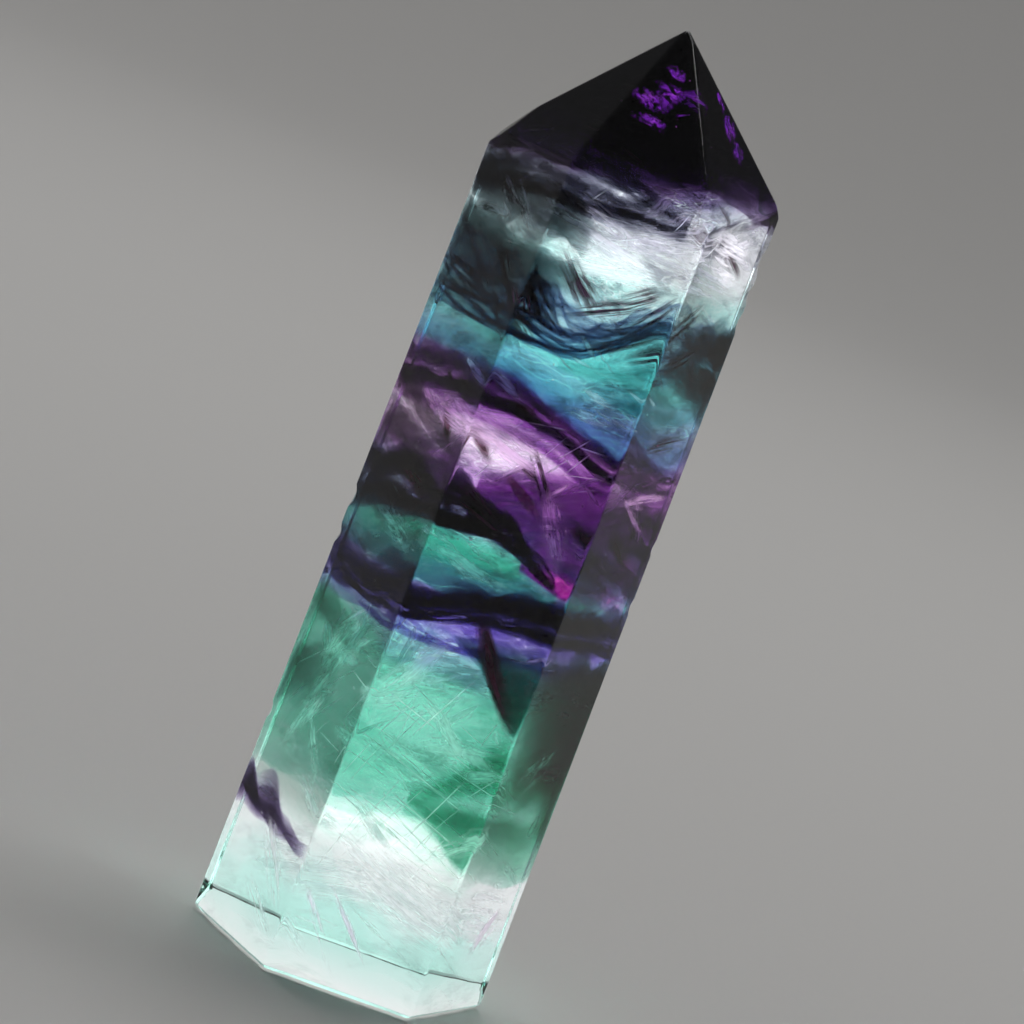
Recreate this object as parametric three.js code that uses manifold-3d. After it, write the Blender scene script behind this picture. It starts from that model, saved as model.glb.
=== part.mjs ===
// A polished fluorite point: a six-sided column ground from one banded crystal, ending in a six-faceted tip.
// It is a single stone that stands on its flat foot.
// Millimetres, +Z up. The origin is the point of the foot that lies on the column's axis, and -Y is the front.
import * as THREE from "three";
import { ConvexGeometry } from "three/addons/geometries/ConvexGeometry.js";
import { mergeVertices } from "three/addons/utils/BufferGeometryUtils.js";
import Module from "manifold-3d";

// Driving dimensions
const height = 93.8;
const footRadius = 15.2; // axis to a corner of the true hexagon, at the foot
const sides = 6;
const leanDeg = 0.4; // each side leans in towards the tip
const firstCornerDeg = 3.4; // the right-hand corner, counted from +X

// Each side was ground this much deeper than the true hexagon, from the back right side round to the right one,
// and the back right side was ground at a slightly different angle
const sideGrind = [0, 0.8, 0.5, 0.5, 0.35, 0.45];
const sideTurnDeg = [-4.7, 0, 0, 0, 0, 0];

// Where each corner of the column ends and the tip begins, from the right-hand corner round to the front right one
const shoulderHeights = [81.2, 80.4, 79.6, 79.1, 79.7, 78.0];
const tipOffset = new THREE.Vector2(-0.3, -0.4); // the tip stands a little off the axis
const tipBlunt = 0.35; // worn off the very point

// Narrow flats that were polished along the edges, measured as the depth taken off each edge
const edgeFlat = 0.1;
const footFlat = 0.3;

// Two larger flats where the left-hand and right-hand shoulders were eased
const easedShoulders = [
  { corner: 3, slopeDeg: 34, depth: 0.75 },
  { corner: 0, slopeDeg: 30, depth: 0.4 },
];

// Chips along the edges: the corner they lie on, their height, and the radius and depth of the bite
const chips = [
  { corner: 0, z: 76.3, radius: 2.1, depth: 0.5 },
  { corner: 0, z: 73.0, radius: 1.5, depth: 0.4 },
  { corner: 0, z: 70.2, radius: 1.8, depth: 0.35 },
  { corner: 0, z: 47.5, radius: 1.1, depth: 0.3 },
  { corner: 0, z: 41.6, radius: 1.3, depth: 0.3 },
  { corner: 3, z: 42.4, radius: 1.6, depth: 0.4 },
  { corner: 3, z: 38.6, radius: 1.2, depth: 0.35 },
  { corner: 3, z: 20.5, radius: 1.4, depth: 0.3 },
  { corner: 2, z: 62.0, radius: 1.5, depth: 0.35 },
  { corner: 1, z: 30.0, radius: 1.7, depth: 0.35 },
];
const chipSegments = 14;
const chipRings = 9;

const cutReach = 2 * height; // half the size of the block that a flat is cut with
const wasm = await Module();
wasm.setup();

const up = new THREE.Vector3(0, 0, 1);
const wrap = (k) => (k + sides) % sides;
const cornerAngle = (k) => THREE.MathUtils.degToRad(firstCornerDeg + (360 / sides) * k);

// The plane of side k, which lies between corners k and k + 1, turned as it was ground, and leans in by leanDeg.
function sidePlane(k) {
  const angle = cornerAngle(k + 0.5) + THREE.MathUtils.degToRad(sideTurnDeg[k]);
  const lean = THREE.MathUtils.degToRad(leanDeg);
  const outward = new THREE.Vector3(Math.cos(angle), Math.sin(angle), 0);
  const normal = outward.clone().multiplyScalar(Math.cos(lean)).addScaledVector(up, Math.sin(lean));
  const foot = outward.multiplyScalar(footRadius * Math.cos(Math.PI / sides) - sideGrind[k]);
  return new THREE.Plane().setFromNormalAndCoplanarPoint(normal, foot);
}

const sidePlanes = Array.from({ length: sides }, (_, k) => sidePlane(k));

// The point at height z on corner k, where sides k - 1 and k meet.
function cornerAt(k, z) {
  const a = sidePlanes[wrap(k - 1)];
  const b = sidePlanes[wrap(k)];
  const reachA = -a.constant - a.normal.z * z;
  const reachB = -b.constant - b.normal.z * z;
  const det = a.normal.x * b.normal.y - a.normal.y * b.normal.x;
  return new THREE.Vector3(
    (reachA * b.normal.y - reachB * a.normal.y) / det,
    (reachB * a.normal.x - reachA * b.normal.x) / det,
    z,
  );
}

const footCorners = sidePlanes.map((_, k) => cornerAt(k, 0));
const shoulders = shoulderHeights.map((z, k) => cornerAt(k, z));
const tip = new THREE.Vector3(tipOffset.x, tipOffset.y, height + tipBlunt);
const middle = new THREE.Vector3(0, 0, height / 2);

// A closed geometry as a solid that can be cut.
function solidOf(geometry) {
  geometry.deleteAttribute("normal");
  geometry.deleteAttribute("uv");
  const merged = mergeVertices(geometry, 1e-4);
  const triVerts = new Uint32Array(merged.index.array);
  return new wasm.Manifold(
    new wasm.Mesh({ numProp: 3, vertProperties: merged.attributes.position.array, triVerts }),
  );
}

// Grinds a flat: takes off all that lies beyond the plane through point, square to normal.
function grindFlat(stone, point, normal) {
  const block = new THREE.BoxGeometry(2 * cutReach, 2 * cutReach, 2 * cutReach);
  block.applyQuaternion(new THREE.Quaternion().setFromUnitVectors(up, normal));
  const centre = point.clone().addScaledVector(normal, cutReach);
  block.translate(centre.x, centre.y, centre.z);
  return stone.subtract(solidOf(block));
}

// The outward normal of the face through three points.
function faceNormal(a, b, c) {
  const plane = new THREE.Plane().setFromCoplanarPoints(a, b, c);
  return plane.distanceToPoint(middle) < 0 ? plane.normal : plane.normal.negate();
}

// A narrow flat along the edge through point, between two faces, depth deep.
function easeEdge(stone, point, normalA, normalB, depth) {
  const normal = normalA.clone().add(normalB).normalize();
  return grindFlat(stone, point.clone().addScaledVector(normal, -depth), normal);
}

// The whole faceted column, with every edge eased and the tip blunted.
function facetedStone() {
  let stone = solidOf(new ConvexGeometry([...footCorners, ...shoulders, tip]));
  const tipNormals = shoulders.map((s, k) => faceNormal(s, shoulders[wrap(k + 1)], tip));
  const down = up.clone().negate();
  for (let k = 0; k < sides; k++) {
    const before = wrap(k - 1);
    stone = easeEdge(stone, shoulders[k], sidePlanes[before].normal, sidePlanes[k].normal, edgeFlat);
    stone = easeEdge(stone, shoulders[k], tipNormals[before], tipNormals[k], edgeFlat);
    stone = easeEdge(stone, shoulders[k], sidePlanes[k].normal, tipNormals[k], edgeFlat);
    stone = easeEdge(stone, footCorners[k], sidePlanes[k].normal, down, footFlat);
  }
  for (const { corner, slopeDeg, depth } of easedShoulders) {
    const slope = THREE.MathUtils.degToRad(slopeDeg);
    const angle = cornerAngle(corner);
    const normal = new THREE.Vector3(Math.cos(angle), Math.sin(angle), Math.tan(slope)).normalize();
    stone = grindFlat(stone, shoulders[corner].clone().addScaledVector(normal, -depth), normal);
  }
  return grindFlat(stone, new THREE.Vector3(0, 0, height), up);
}

// A shallow round bite out of a corner of the column.
function chipBite({ corner, z, radius, depth }) {
  const edge = cornerAt(corner, z);
  const outward = new THREE.Vector3(Math.cos(cornerAngle(corner)), Math.sin(cornerAngle(corner)), 0);
  const centre = edge.addScaledVector(outward, radius - edgeFlat - depth);
  const bite = new THREE.SphereGeometry(radius, chipSegments, chipRings);
  bite.translate(centre.x, centre.y, centre.z);
  return solidOf(bite);
}

// A solid as a flat-shaded geometry.
function geometryOf(solid) {
  const mesh = solid.getMesh();
  const geometry = new THREE.BufferGeometry();
  geometry.setAttribute("position", new THREE.BufferAttribute(new Float32Array(mesh.vertProperties), 3));
  geometry.setIndex(new THREE.BufferAttribute(new Uint32Array(mesh.triVerts), 1));
  const flat = geometry.toNonIndexed();
  flat.computeVertexNormals();
  return flat;
}

const stone = chips.reduce((left, chip) => left.subtract(chipBite(chip)), facetedStone());
const fluorite = new THREE.MeshStandardMaterial({ color: 0x3f8f86, roughness: 0.06, metalness: 0 });
const point = new THREE.Mesh(geometryOf(stone), fluorite);
point.name = "fluorite_point";

const part = new THREE.Group();
part.add(point);

export default part;
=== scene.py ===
import math

import bpy
import numpy as np
from mathutils import Matrix, Vector


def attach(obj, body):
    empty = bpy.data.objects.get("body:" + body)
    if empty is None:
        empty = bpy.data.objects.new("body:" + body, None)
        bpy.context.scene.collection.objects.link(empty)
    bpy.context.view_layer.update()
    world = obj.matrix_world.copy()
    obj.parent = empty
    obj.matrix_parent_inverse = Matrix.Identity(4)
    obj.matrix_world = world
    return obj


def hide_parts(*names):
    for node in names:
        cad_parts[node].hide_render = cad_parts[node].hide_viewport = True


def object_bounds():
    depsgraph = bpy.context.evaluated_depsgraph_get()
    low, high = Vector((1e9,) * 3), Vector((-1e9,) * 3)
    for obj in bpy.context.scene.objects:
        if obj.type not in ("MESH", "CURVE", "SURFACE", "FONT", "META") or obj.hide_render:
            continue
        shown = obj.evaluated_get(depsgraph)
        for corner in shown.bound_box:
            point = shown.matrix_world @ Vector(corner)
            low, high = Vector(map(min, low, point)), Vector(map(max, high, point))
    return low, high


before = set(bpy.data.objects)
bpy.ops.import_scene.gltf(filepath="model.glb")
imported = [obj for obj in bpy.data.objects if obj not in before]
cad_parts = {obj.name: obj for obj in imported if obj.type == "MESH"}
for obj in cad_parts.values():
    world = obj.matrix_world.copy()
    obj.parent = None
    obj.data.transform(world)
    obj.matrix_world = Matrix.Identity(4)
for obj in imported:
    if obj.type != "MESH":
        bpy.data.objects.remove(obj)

# A polished fluorite point: one clear banded crystal, ground to a six-sided column with a faceted tip.
# Shapes are worked out in millimetres and put into the meshes in metres. The front side looks along -Y.
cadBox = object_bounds()
scene = bpy.context.scene
mm = 0.001
bodyName = "root"
nodeName = "fluorite_point"


# A mesh with its material as an object at the origin.
def addObject(name, mesh, material):
    piece = bpy.data.objects.new(name, mesh)
    scene.collection.objects.link(piece)
    mesh.materials.append(material)
    return piece


# A piece of the stone: it rides on the one body.
def addToStone(piece, inside=True):
    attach(piece, bodyName)
    piece.visible_shadow = not inside  # the clear outside already casts the stone's shadow
    return piece


# The vertices of a grid whose first and last row are single points.
def asVertices(grid):
    return np.concatenate([grid[0, :1], grid[1:-1].reshape(-1, *grid.shape[2:]), grid[-1, :1]])


# A closed surface from grids of rows and columns: in each the columns run once round and meet, and the first
# and the last row are points, which close it below and above. values holds a number for each grid point.
def closedSurface(name, grids, values=None):
    quads = []
    tris = []
    start = 0
    for grid in grids:
        rows, cols = grid.shape[:2]
        ring = np.arange((rows - 2) * cols).reshape(rows - 2, cols) + start + 1
        after = np.roll(ring, -1, axis=1)
        last = start + 1 + (rows - 2) * cols
        quads.append(np.stack([ring[:-1], after[:-1], after[1:], ring[1:]], axis=-1).reshape(-1, 4))
        tris.append(np.stack([np.full(cols, start), after[0], ring[0]], axis=-1))
        tris.append(np.stack([np.full(cols, last), ring[-1], after[-1]], axis=-1))
        start = last + 1
    points = np.concatenate([asVertices(grid) for grid in grids]) * mm
    faces = np.concatenate(quads).tolist() + np.concatenate(tris).tolist()
    mesh = bpy.data.meshes.new(name)
    mesh.from_pydata(points.tolist(), [], faces)
    mesh.polygons.foreach_set("use_smooth", np.ones(len(mesh.polygons), dtype=bool))
    for key, numbers in (values or {}).items():
        column = np.concatenate([asVertices(grid) for grid in numbers])
        mesh.attributes.new(key, "FLOAT", "POINT").data.foreach_set("value", column.astype(np.float32))
    mesh.update()
    return mesh


# The facets of the CAD stone as planes (normal, reach, area): triangles that lie in one plane are one facet,
# and only planes with the whole stone behind them count, which leaves the chips out.
def facetPlanes():
    tinyArea = 1e-5  # mm2: a smaller triangle has no sure normal
    behind = 2e-3  # mm that the stone may stand out beyond one of its facets
    digits = 2  # planes that agree to so many digits are one facet
    leastArea = 0.02  # mm2 of the smallest facet that counts
    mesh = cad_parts[nodeName].data
    mesh.calc_loop_triangles()
    corners = np.zeros(len(mesh.vertices) * 3)
    mesh.vertices.foreach_get("co", corners)
    corners = corners.reshape(-1, 3) / mm
    index = np.zeros(len(mesh.loop_triangles) * 3, dtype=np.int32)
    mesh.loop_triangles.foreach_get("vertices", index)
    a, b, c = corners[index.reshape(-1, 3)].transpose(1, 0, 2)
    cross = np.cross(b - a, c - a)
    area = np.linalg.norm(cross, axis=1) / 2
    sound = area > tinyArea
    normal = cross[sound] / (2 * area[sound, None])
    reach = np.einsum("ij,ij->i", normal, a[sound])
    beyond = (normal @ corners.T - reach[:, None]).max(axis=1)
    keep = beyond < behind
    table = np.column_stack([normal, reach])[keep]
    share = area[sound][keep]
    which = np.unique(np.round(table, digits), axis=0, return_inverse=True)[1].reshape(-1)
    total = np.bincount(which, weights=share)
    mean = np.stack([np.bincount(which, weights=column * share) / total for column in table.T], axis=1)
    big = total > leastArea
    return mean[big, :3], mean[big, 3], total[big]


broadArea = 30  # mm2: sides, foot and tip facets are broader, the flats along the edges aren't
uprightRise = 0.1  # the normal of a side rises or falls less than this
facetNormals, facetReach, facetArea = facetPlanes()
broad = facetArea > broadArea
sides = np.flatnonzero(broad & (np.abs(facetNormals[:, 2]) < uprightRise))
sides = sides[np.argsort(np.arctan2(facetNormals[sides, 1], facetNormals[sides, 0]))]
tipHeight = cadBox[1][2] / mm
print("facets:", len(facetReach), "broad:", int(broad.sum()), "sides:", len(sides))


# Where side planes a and b cross at height z.
def cornerBetween(a, b, z):
    n = facetNormals[[a, b]]
    return np.linalg.solve(n[:, :2], facetReach[[a, b]] - n[:, 2] * z)


# The angles of the columns: along each side, steps that are short near the corners and long in the middle.
def columnAngles(steps):
    angles = []
    for k in range(len(sides)):
        here, there = sides[k], sides[(k + 1) % len(sides)]
        before = sides[k - 1]
        start = cornerBetween(before, here, tipHeight / 2)
        end = cornerBetween(here, there, tipHeight / 2)
        along = np.array(steps) / (2 * steps[-1])
        share = np.concatenate([along, 1 - along[-2:0:-1]])
        xy = start + share[:, None] * (end - start)
        angles.append(np.arctan2(xy[:, 1], xy[:, 0]))
    return np.unwrap(np.concatenate(angles))


# How far a ray runs from each origin along each direction until it leaves the stone: the nearest facet ahead.
def reachFacets(origin, direction):
    level = 1e-6  # a ray that nears a facet more slowly never meets it
    ahead = direction @ facetNormals.T
    gap = facetReach - origin @ facetNormals.T
    return np.where(ahead > level, gap / np.maximum(ahead, level), np.inf).min(axis=-1)


# Small irregular waves over the plan of the stone: a sum of sines with seeded directions and phases, each
# shorter and lower than the one before.
def ripple(x, y, seed, longest=11.0, terms=7, tighter=0.55):
    rng = np.random.default_rng(seed)
    total = np.zeros_like(x)
    for k in range(terms):
        heading = rng.uniform(0, math.tau)
        length = longest / (1 + tighter * k)
        phase = rng.uniform(0, math.tau)
        total += np.sin(math.tau * (x * math.cos(heading) + y * math.sin(heading)) / length + phase) / (1 + k)
    return total / 2


# An empty material and its tree of nodes.
def newMaterial(name):
    material = bpy.data.materials.new(name)
    material.use_nodes = True
    material.node_tree.nodes.clear()
    return material, material.node_tree


# A node with its settings. An input that is a socket is linked, and any other is stated.
def addNode(tree, kind, inputs=None, **settings):
    node = tree.nodes.new(kind)
    for key, value in settings.items():
        setattr(node, key, value)
    for key, value in (inputs or {}).items():
        if isinstance(value, bpy.types.NodeSocket):
            tree.links.new(value, node.inputs[key])
        else:
            node.inputs[key].default_value = value
    return node


# One operation on up to three values.
def mathNode(tree, operation, a, b=0.0, c=0.0):
    return addNode(tree, "ShaderNodeMath", {0: a, 1: b, 2: c}, operation=operation).outputs[0]


# A smooth step from toLow at low to toHigh at high.
def mapRange(tree, value, low, high, toLow=0.0, toHigh=1.0):
    inputs = {"Value": value, "From Min": low, "From Max": high, "To Min": toLow, "To Max": toHigh}
    return addNode(tree, "ShaderNodeMapRange", inputs, interpolation_type="SMOOTHSTEP").outputs["Result"]


# Colour a with a share of colour b, mixed or multiplied.
def mixColour(tree, share, a, b, how="MIX"):
    node = addNode(tree, "ShaderNodeMix", data_type="RGBA", blend_type=how)
    for socket, value in ((node.inputs[0], share), (node.inputs[6], a), (node.inputs[7], b)):
        if isinstance(value, bpy.types.NodeSocket):
            tree.links.new(value, socket)
        else:
            socket.default_value = value
    return node.outputs[2]


# Colours that run from stop to stop as the value grows from 0 to 1.
def colourRamp(tree, value, stops):
    ramp = addNode(tree, "ShaderNodeValToRGB", {"Fac": value})
    ramp.color_ramp.interpolation = "EASE"
    points = ramp.color_ramp.elements
    while len(points) < len(stops):
        points.new(0.5)
    for point, (position, colour) in zip(points, stops):
        point.position = position
        point.color = (*colour, 1.0)
    return ramp.outputs["Color"]


# Object coordinates in millimetres.
def stonePlace(tree):
    place = addNode(tree, "ShaderNodeTexCoord").outputs["Object"]
    return addNode(tree, "ShaderNodeMapping", {"Vector": place, "Scale": (1 / mm, 1 / mm, 1 / mm)}).outputs[0]


# Noise at a place that is first turned and stretched.
def noiseAt(tree, place, scale, detail=3.0, rough=0.55, stretch=(1.0, 1.0, 1.0), turn=(0.0, 0.0, 0.0)):
    inputs = {"Vector": place, "Scale": stretch, "Rotation": turn}
    mapped = addNode(tree, "ShaderNodeMapping", inputs).outputs[0]
    inputs = {"Vector": mapped, "Scale": scale, "Detail": detail, "Roughness": rough}
    return addNode(tree, "ShaderNodeTexNoise", inputs).outputs["Fac"]


# Absorption as plain numbers: the density and colour with which white light takes the tint over one depth.
def absorption(tree, tint, depth):
    loss = -np.log(np.array(tint)) / (depth * mm)
    density = float(loss.max())
    colour = (*(1 - loss / density), 1.0)
    return addNode(tree, "ShaderNodeVolumeAbsorption", {"Color": colour, "Density": density}).outputs[0]


# The polished outside
stone = {
    "name": "fluorite_stone",
    "sharpness": 26.0,  # per mm: how tightly the facets round into each other
    "columnSteps": [0, 0.06, 0.12, 0.19, 0.27, 0.37, 0.5, 0.66, 0.86, 1.1, 1.4, 1.9, 2.7, 3.8, 5.3, 7.3],
    "rowStarts": (1.2, 68.0, 82.0),  # mm: where rows leave the foot, crowd and enter the tip
    "rowSteps": (0.28, 0.14),  # mm, below and among the shoulders
    "footSlopes": ((-90, -12, 8), (-9, -1, 14)),  # degrees: first and last slope of rays, and how many
    "tipSlopes": ((0, 80, 46), (82, 90, 10)),
    "rounds": 5,  # steps in which each ray's end settles on the rounded outside
    "ior": 1.434,
    "clearTint": (0.90, 0.97, 0.96),  # what clearDepth mm of the crystal do to white light
    "clearDepth": 30.0,
    "drift": (0.075, 9.0),  # how fast the bands wander, per mm, and how far in mm
    "streak": (0.16, 5.0),  # the same for the fine streaks along them
    "smoke": (0.13, 0.14, 0.18),
    "smokeAmount": (0.25, 0.9),  # near the foot and above
    "smokeHeights": (28.0, 42.0),  # mm between which it grows
    "smokeCut": (0.47, 0.66),  # where in its pattern it starts and is full
    "strands": 0.5,
    "strandTint": (0.93, 0.96, 0.98),
    "strandHalf": 0.014,  # half a strand's width in its pattern
    "frostTint": (0.95, 0.95, 0.97),
    "frostRough": 0.45,
    "scuff": 0.14,  # the most that a worn edge turns white
    "windowEdge": (0.35, 1.05),  # where a window starts to fade and ends, in shares of its half size
    "windowClear": 0.92,
    "windowWander": 2.2,  # how much smoke makes its edge uneven
    "windows": [  # clear places: centre and half sizes in mm, tilt in degrees and tint
        ((-2.8, 0, 53.2), (6.0, 60, 2.9), 14, (1.0, 0.88, 0.98)),
        ((1.5, 0, 12.5), (10.5, 60, 4.2), 24, (0.98, 0.99, 0.99)),
        ((11.5, 0, 10.5), (4.2, 60, 6.0), 0, (0.98, 0.95, 0.99)),
        ((-1.0, 0, 3.5), (16, 60, 3.5), 8, (0.94, 0.99, 0.985)),
        ((0.6, 0, 71.9), (7.2, 60, 1.7), -6, (0.88, 0.99, 0.98)),
        ((10.8, 0, 76.2), (4.4, 60, 3.8), 0, (0.96, 0.93, 0.99)),
        ((5.6, 0, 43.2), (3.6, 60, 1.8), 10, (0.97, 0.50, 0.86)),
        ((-1.0, 0, 26.0), (10, 60, 6.5), 0, (0.66, 0.94, 0.86)),
        ((0.0, 0, 61.8), (8.0, 60, 2.2), 10, (0.58, 0.87, 0.87)),
    ],
    "bandHeights": [  # height in mm and tint of the crystal there
        (0, (0.82, 0.95, 0.91)), (6, (0.92, 0.97, 0.97)), (12, (0.97, 0.97, 0.98)),
        (17, (0.55, 0.90, 0.76)), (24, (0.32, 0.80, 0.66)), (31, (0.36, 0.86, 0.70)),
        (34.5, (0.47, 0.43, 0.76)), (38, (0.22, 0.20, 0.42)), (41, (0.24, 0.72, 0.62)),
        (45, (0.26, 0.36, 0.46)), (48, (0.40, 0.20, 0.52)), (52.5, (0.90, 0.66, 0.90)),
        (56, (0.52, 0.26, 0.62)), (59, (0.40, 0.42, 0.62)), (61, (0.50, 0.78, 0.85)),
        (64.5, (0.54, 0.88, 0.90)), (67, (0.30, 0.50, 0.56)), (70, (0.50, 0.80, 0.78)),
        (74, (0.74, 0.74, 0.78)), (78, (0.50, 0.50, 0.58)), (81, (0.20, 0.12, 0.32)),
        (88, (0.26, 0.10, 0.46)), (94, (0.20, 0.12, 0.34)),
    ],
}

# Chips along the edges, as on the CAD stone: corner, height, and the radius and depth of the bite in mm.
chips = {
    "firstCornerDeg": 3.4,
    "edgeFlat": 0.1,
    "bites": [
        (0, 76.3, 2.1, 0.5), (0, 73.0, 1.5, 0.4), (0, 70.2, 1.8, 0.35), (0, 47.5, 1.1, 0.3),
        (0, 41.6, 1.3, 0.3), (3, 42.4, 1.6, 0.4), (3, 38.6, 1.2, 0.35), (3, 20.5, 1.4, 0.3),
        (2, 62.0, 1.5, 0.35), (1, 30.0, 1.7, 0.35),
    ],
}


# The centres of the bites: on the corner's edge, moved out until only the stated depth is left inside.
def biteCentres():
    centres = []
    heading = np.degrees(np.arctan2(facetNormals[sides, 1], facetNormals[sides, 0]))
    order = sides[np.argsort((heading - chips["firstCornerDeg"]) % 360)]
    for corner, z, radius, depth in chips["bites"]:
        angle = math.radians(chips["firstCornerDeg"] + 360 / len(sides) * corner)
        edge = cornerBetween(order[corner - 1], order[corner], z)
        out = radius - chips["edgeFlat"] - depth
        centres.append((edge[0] + out * math.cos(angle), edge[1] + out * math.sin(angle), z, radius))
    return np.array(centres)


# The outside is where the soft maximum of all facet distances is zero. Each row sends out rays from a point
# on the axis at one slope: straight down to level at the foot, level up the column, level to straight up at
# the tip. A bite then moves the end of a ray to the near side of its ball.
def stoneGrid():
    slowest = 0.05  # the least speed towards the outside that a settling step counts with
    footStart, shoulderStart, tipStart = stone["rowStarts"]
    rowStep, fineStep = stone["rowSteps"]
    footSlope = np.radians(np.concatenate([np.linspace(*slopes) for slopes in stone["footSlopes"]]))
    column = np.concatenate([
        np.arange(footStart, shoulderStart, rowStep),
        np.arange(shoulderStart, tipStart, fineStep),
    ])
    tipSlope = np.radians(np.concatenate([np.linspace(*slopes) for slopes in stone["tipSlopes"]])[1:])
    height = np.concatenate([np.full(len(footSlope), footStart), column, np.full(len(tipSlope), tipStart)])
    slope = np.concatenate([footSlope, np.zeros(len(column)), tipSlope])
    angle = columnAngles(stone["columnSteps"])
    direction = np.stack([
        np.cos(slope)[:, None] * np.cos(angle),
        np.cos(slope)[:, None] * np.sin(angle),
        np.broadcast_to(np.sin(slope)[:, None], (len(slope), len(angle))),
    ], axis=-1)
    origin = np.zeros_like(direction)
    origin[..., 2] = height[:, None]
    run = reachFacets(origin, direction)
    k = stone["sharpness"]
    for _ in range(stone["rounds"]):
        gap = (origin + run[..., None] * direction) @ facetNormals.T - facetReach
        weight = np.exp(k * (gap - gap.max(axis=-1, keepdims=True)))
        total = weight.sum(axis=-1)
        soft = gap.max(axis=-1) + np.log(total) / k
        weight /= total[..., None]
        speed = np.einsum("ijk,ijk->ij", weight, direction @ facetNormals.T)
        run = run - soft / np.maximum(speed, slowest)
    normal = weight @ facetNormals
    normal /= np.linalg.norm(normal, axis=-1, keepdims=True)
    worn = 1 - weight[..., broad].max(axis=-1)
    bitten = np.zeros_like(run)
    for centre in biteCentres():
        toCentre = centre[:3] - origin
        middle = np.einsum("ijk,ijk->ij", toCentre, direction)
        half = centre[3] ** 2 - (toCentre ** 2).sum(axis=-1) + middle ** 2
        half = np.sqrt(np.maximum(half, 0))
        near = middle - half
        inside = (half > 0) & (near < run) & (middle + half > run)
        run = np.where(inside, near, run)
        bite = (centre[:3] - origin - run[..., None] * direction) / centre[3]
        normal = np.where(inside[..., None], bite, normal)
        bitten = np.where(inside, 1.0, bitten)
    return origin + run[..., None] * direction, normal, worn, bitten


# Polished fluorite: clear, tinted in bands that follow the height, drift slowly and carry fine streaks. Smoke
# and thin pale strands lie over the bands, windows clear them away, and chips and worn edges are frosty.
def stoneMaterial():
    material, tree = newMaterial("polished_fluorite")
    place = stonePlace(tree)
    scale, reach = stone["drift"]
    drift = addNode(tree, "ShaderNodeTexNoise", {"Vector": place, "Scale": scale, "Detail": 1.0})
    inputs = {0: drift.outputs["Color"], 1: (0.5, 0.5, 0.5)}
    drift = addNode(tree, "ShaderNodeVectorMath", inputs, operation="SUBTRACT")
    inputs = {0: drift.outputs[0], 1: (reach, reach, reach), 2: place}
    bent = addNode(tree, "ShaderNodeVectorMath", inputs, operation="MULTIPLY_ADD").outputs[0]
    apart = addNode(tree, "ShaderNodeSeparateXYZ", {"Vector": bent})
    scale, reach = stone["streak"]
    streak = noiseAt(tree, bent, scale, 4.0, 0.65, stretch=(0.5, 0.5, 2.4), turn=(0.25, 0.35, 0.0))
    streak = mathNode(tree, "MULTIPLY_ADD", streak, reach, -reach / 2)
    height = mathNode(tree, "ADD", apart.outputs["Z"], streak)
    top = float(stone["bandHeights"][-1][0])
    stops = [(z / top, colour) for z, colour in stone["bandHeights"]]
    tint = colourRamp(tree, mathNode(tree, "DIVIDE", height, top), stops)
    smoke = noiseAt(tree, bent, 0.26, 5.0, 0.68, stretch=(0.55, 0.55, 1.5), turn=(0.5, -0.45, 0.0))
    amount = mapRange(tree, apart.outputs["Z"], *stone["smokeHeights"], *stone["smokeAmount"])
    dusk = mathNode(tree, "MULTIPLY", mapRange(tree, smoke, *stone["smokeCut"]), amount)
    tint = mixColour(tree, dusk, tint, (*stone["smoke"], 1.0), "MULTIPLY")
    fine = noiseAt(tree, bent, 0.34, 3.0, 0.6, stretch=(0.35, 0.35, 1.2), turn=(-0.4, 0.5, 0.0))
    ridge = mathNode(tree, "ABSOLUTE", mathNode(tree, "SUBTRACT", fine, 0.5))
    strand = mapRange(tree, ridge, 0.0, stone["strandHalf"], stone["strands"], 0.0)
    tint = mixColour(tree, strand, tint, (*stone["strandTint"], 1.0))
    wander = stone["windowWander"]
    uneven = mathNode(tree, "MULTIPLY_ADD", smoke, wander, -wander / 2)
    for centre, half, tilt, colour in stone["windows"]:
        local = addNode(tree, "ShaderNodeMapping", {
            "Vector": place, "Location": centre, "Rotation": (0.0, math.radians(tilt), 0.0), "Scale": half,
        }, vector_type="TEXTURE").outputs[0]
        far = addNode(tree, "ShaderNodeVectorMath", {0: local}, operation="LENGTH").outputs["Value"]
        edge = mathNode(tree, "ADD", far, uneven)
        clear = mapRange(tree, edge, *stone["windowEdge"], stone["windowClear"], 0.0)
        tint = mixColour(tree, clear, tint, (*colour, 1.0))
    worn = addNode(tree, "ShaderNodeAttribute", attribute_name="worn").outputs["Fac"]
    bitten = addNode(tree, "ShaderNodeAttribute", attribute_name="bitten").outputs["Fac"]
    grit = noiseAt(tree, place, 2.6, detail=2.0, rough=0.7)
    frost = mathNode(tree, "MULTIPLY", bitten, mapRange(tree, grit, 0.35, 0.6))
    scuff = mathNode(tree, "MULTIPLY", worn, mapRange(tree, grit, 0.5, 0.7, 0.0, stone["scuff"]))
    white = mathNode(tree, "MAXIMUM", frost, scuff)
    tint = mixColour(tree, white, tint, (*stone["frostTint"], 1.0))
    rough = mathNode(tree, "MULTIPLY", white, stone["frostRough"])
    shader = addNode(tree, "ShaderNodeBsdfPrincipled", {
        "Base Color": tint, "Roughness": rough, "IOR": stone["ior"], "Transmission Weight": 1.0,
    })
    out = addNode(tree, "ShaderNodeOutputMaterial", {"Surface": shader.outputs[0]})
    tree.links.new(absorption(tree, stone["clearTint"], stone["clearDepth"]), out.inputs["Volume"])
    return material


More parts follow.
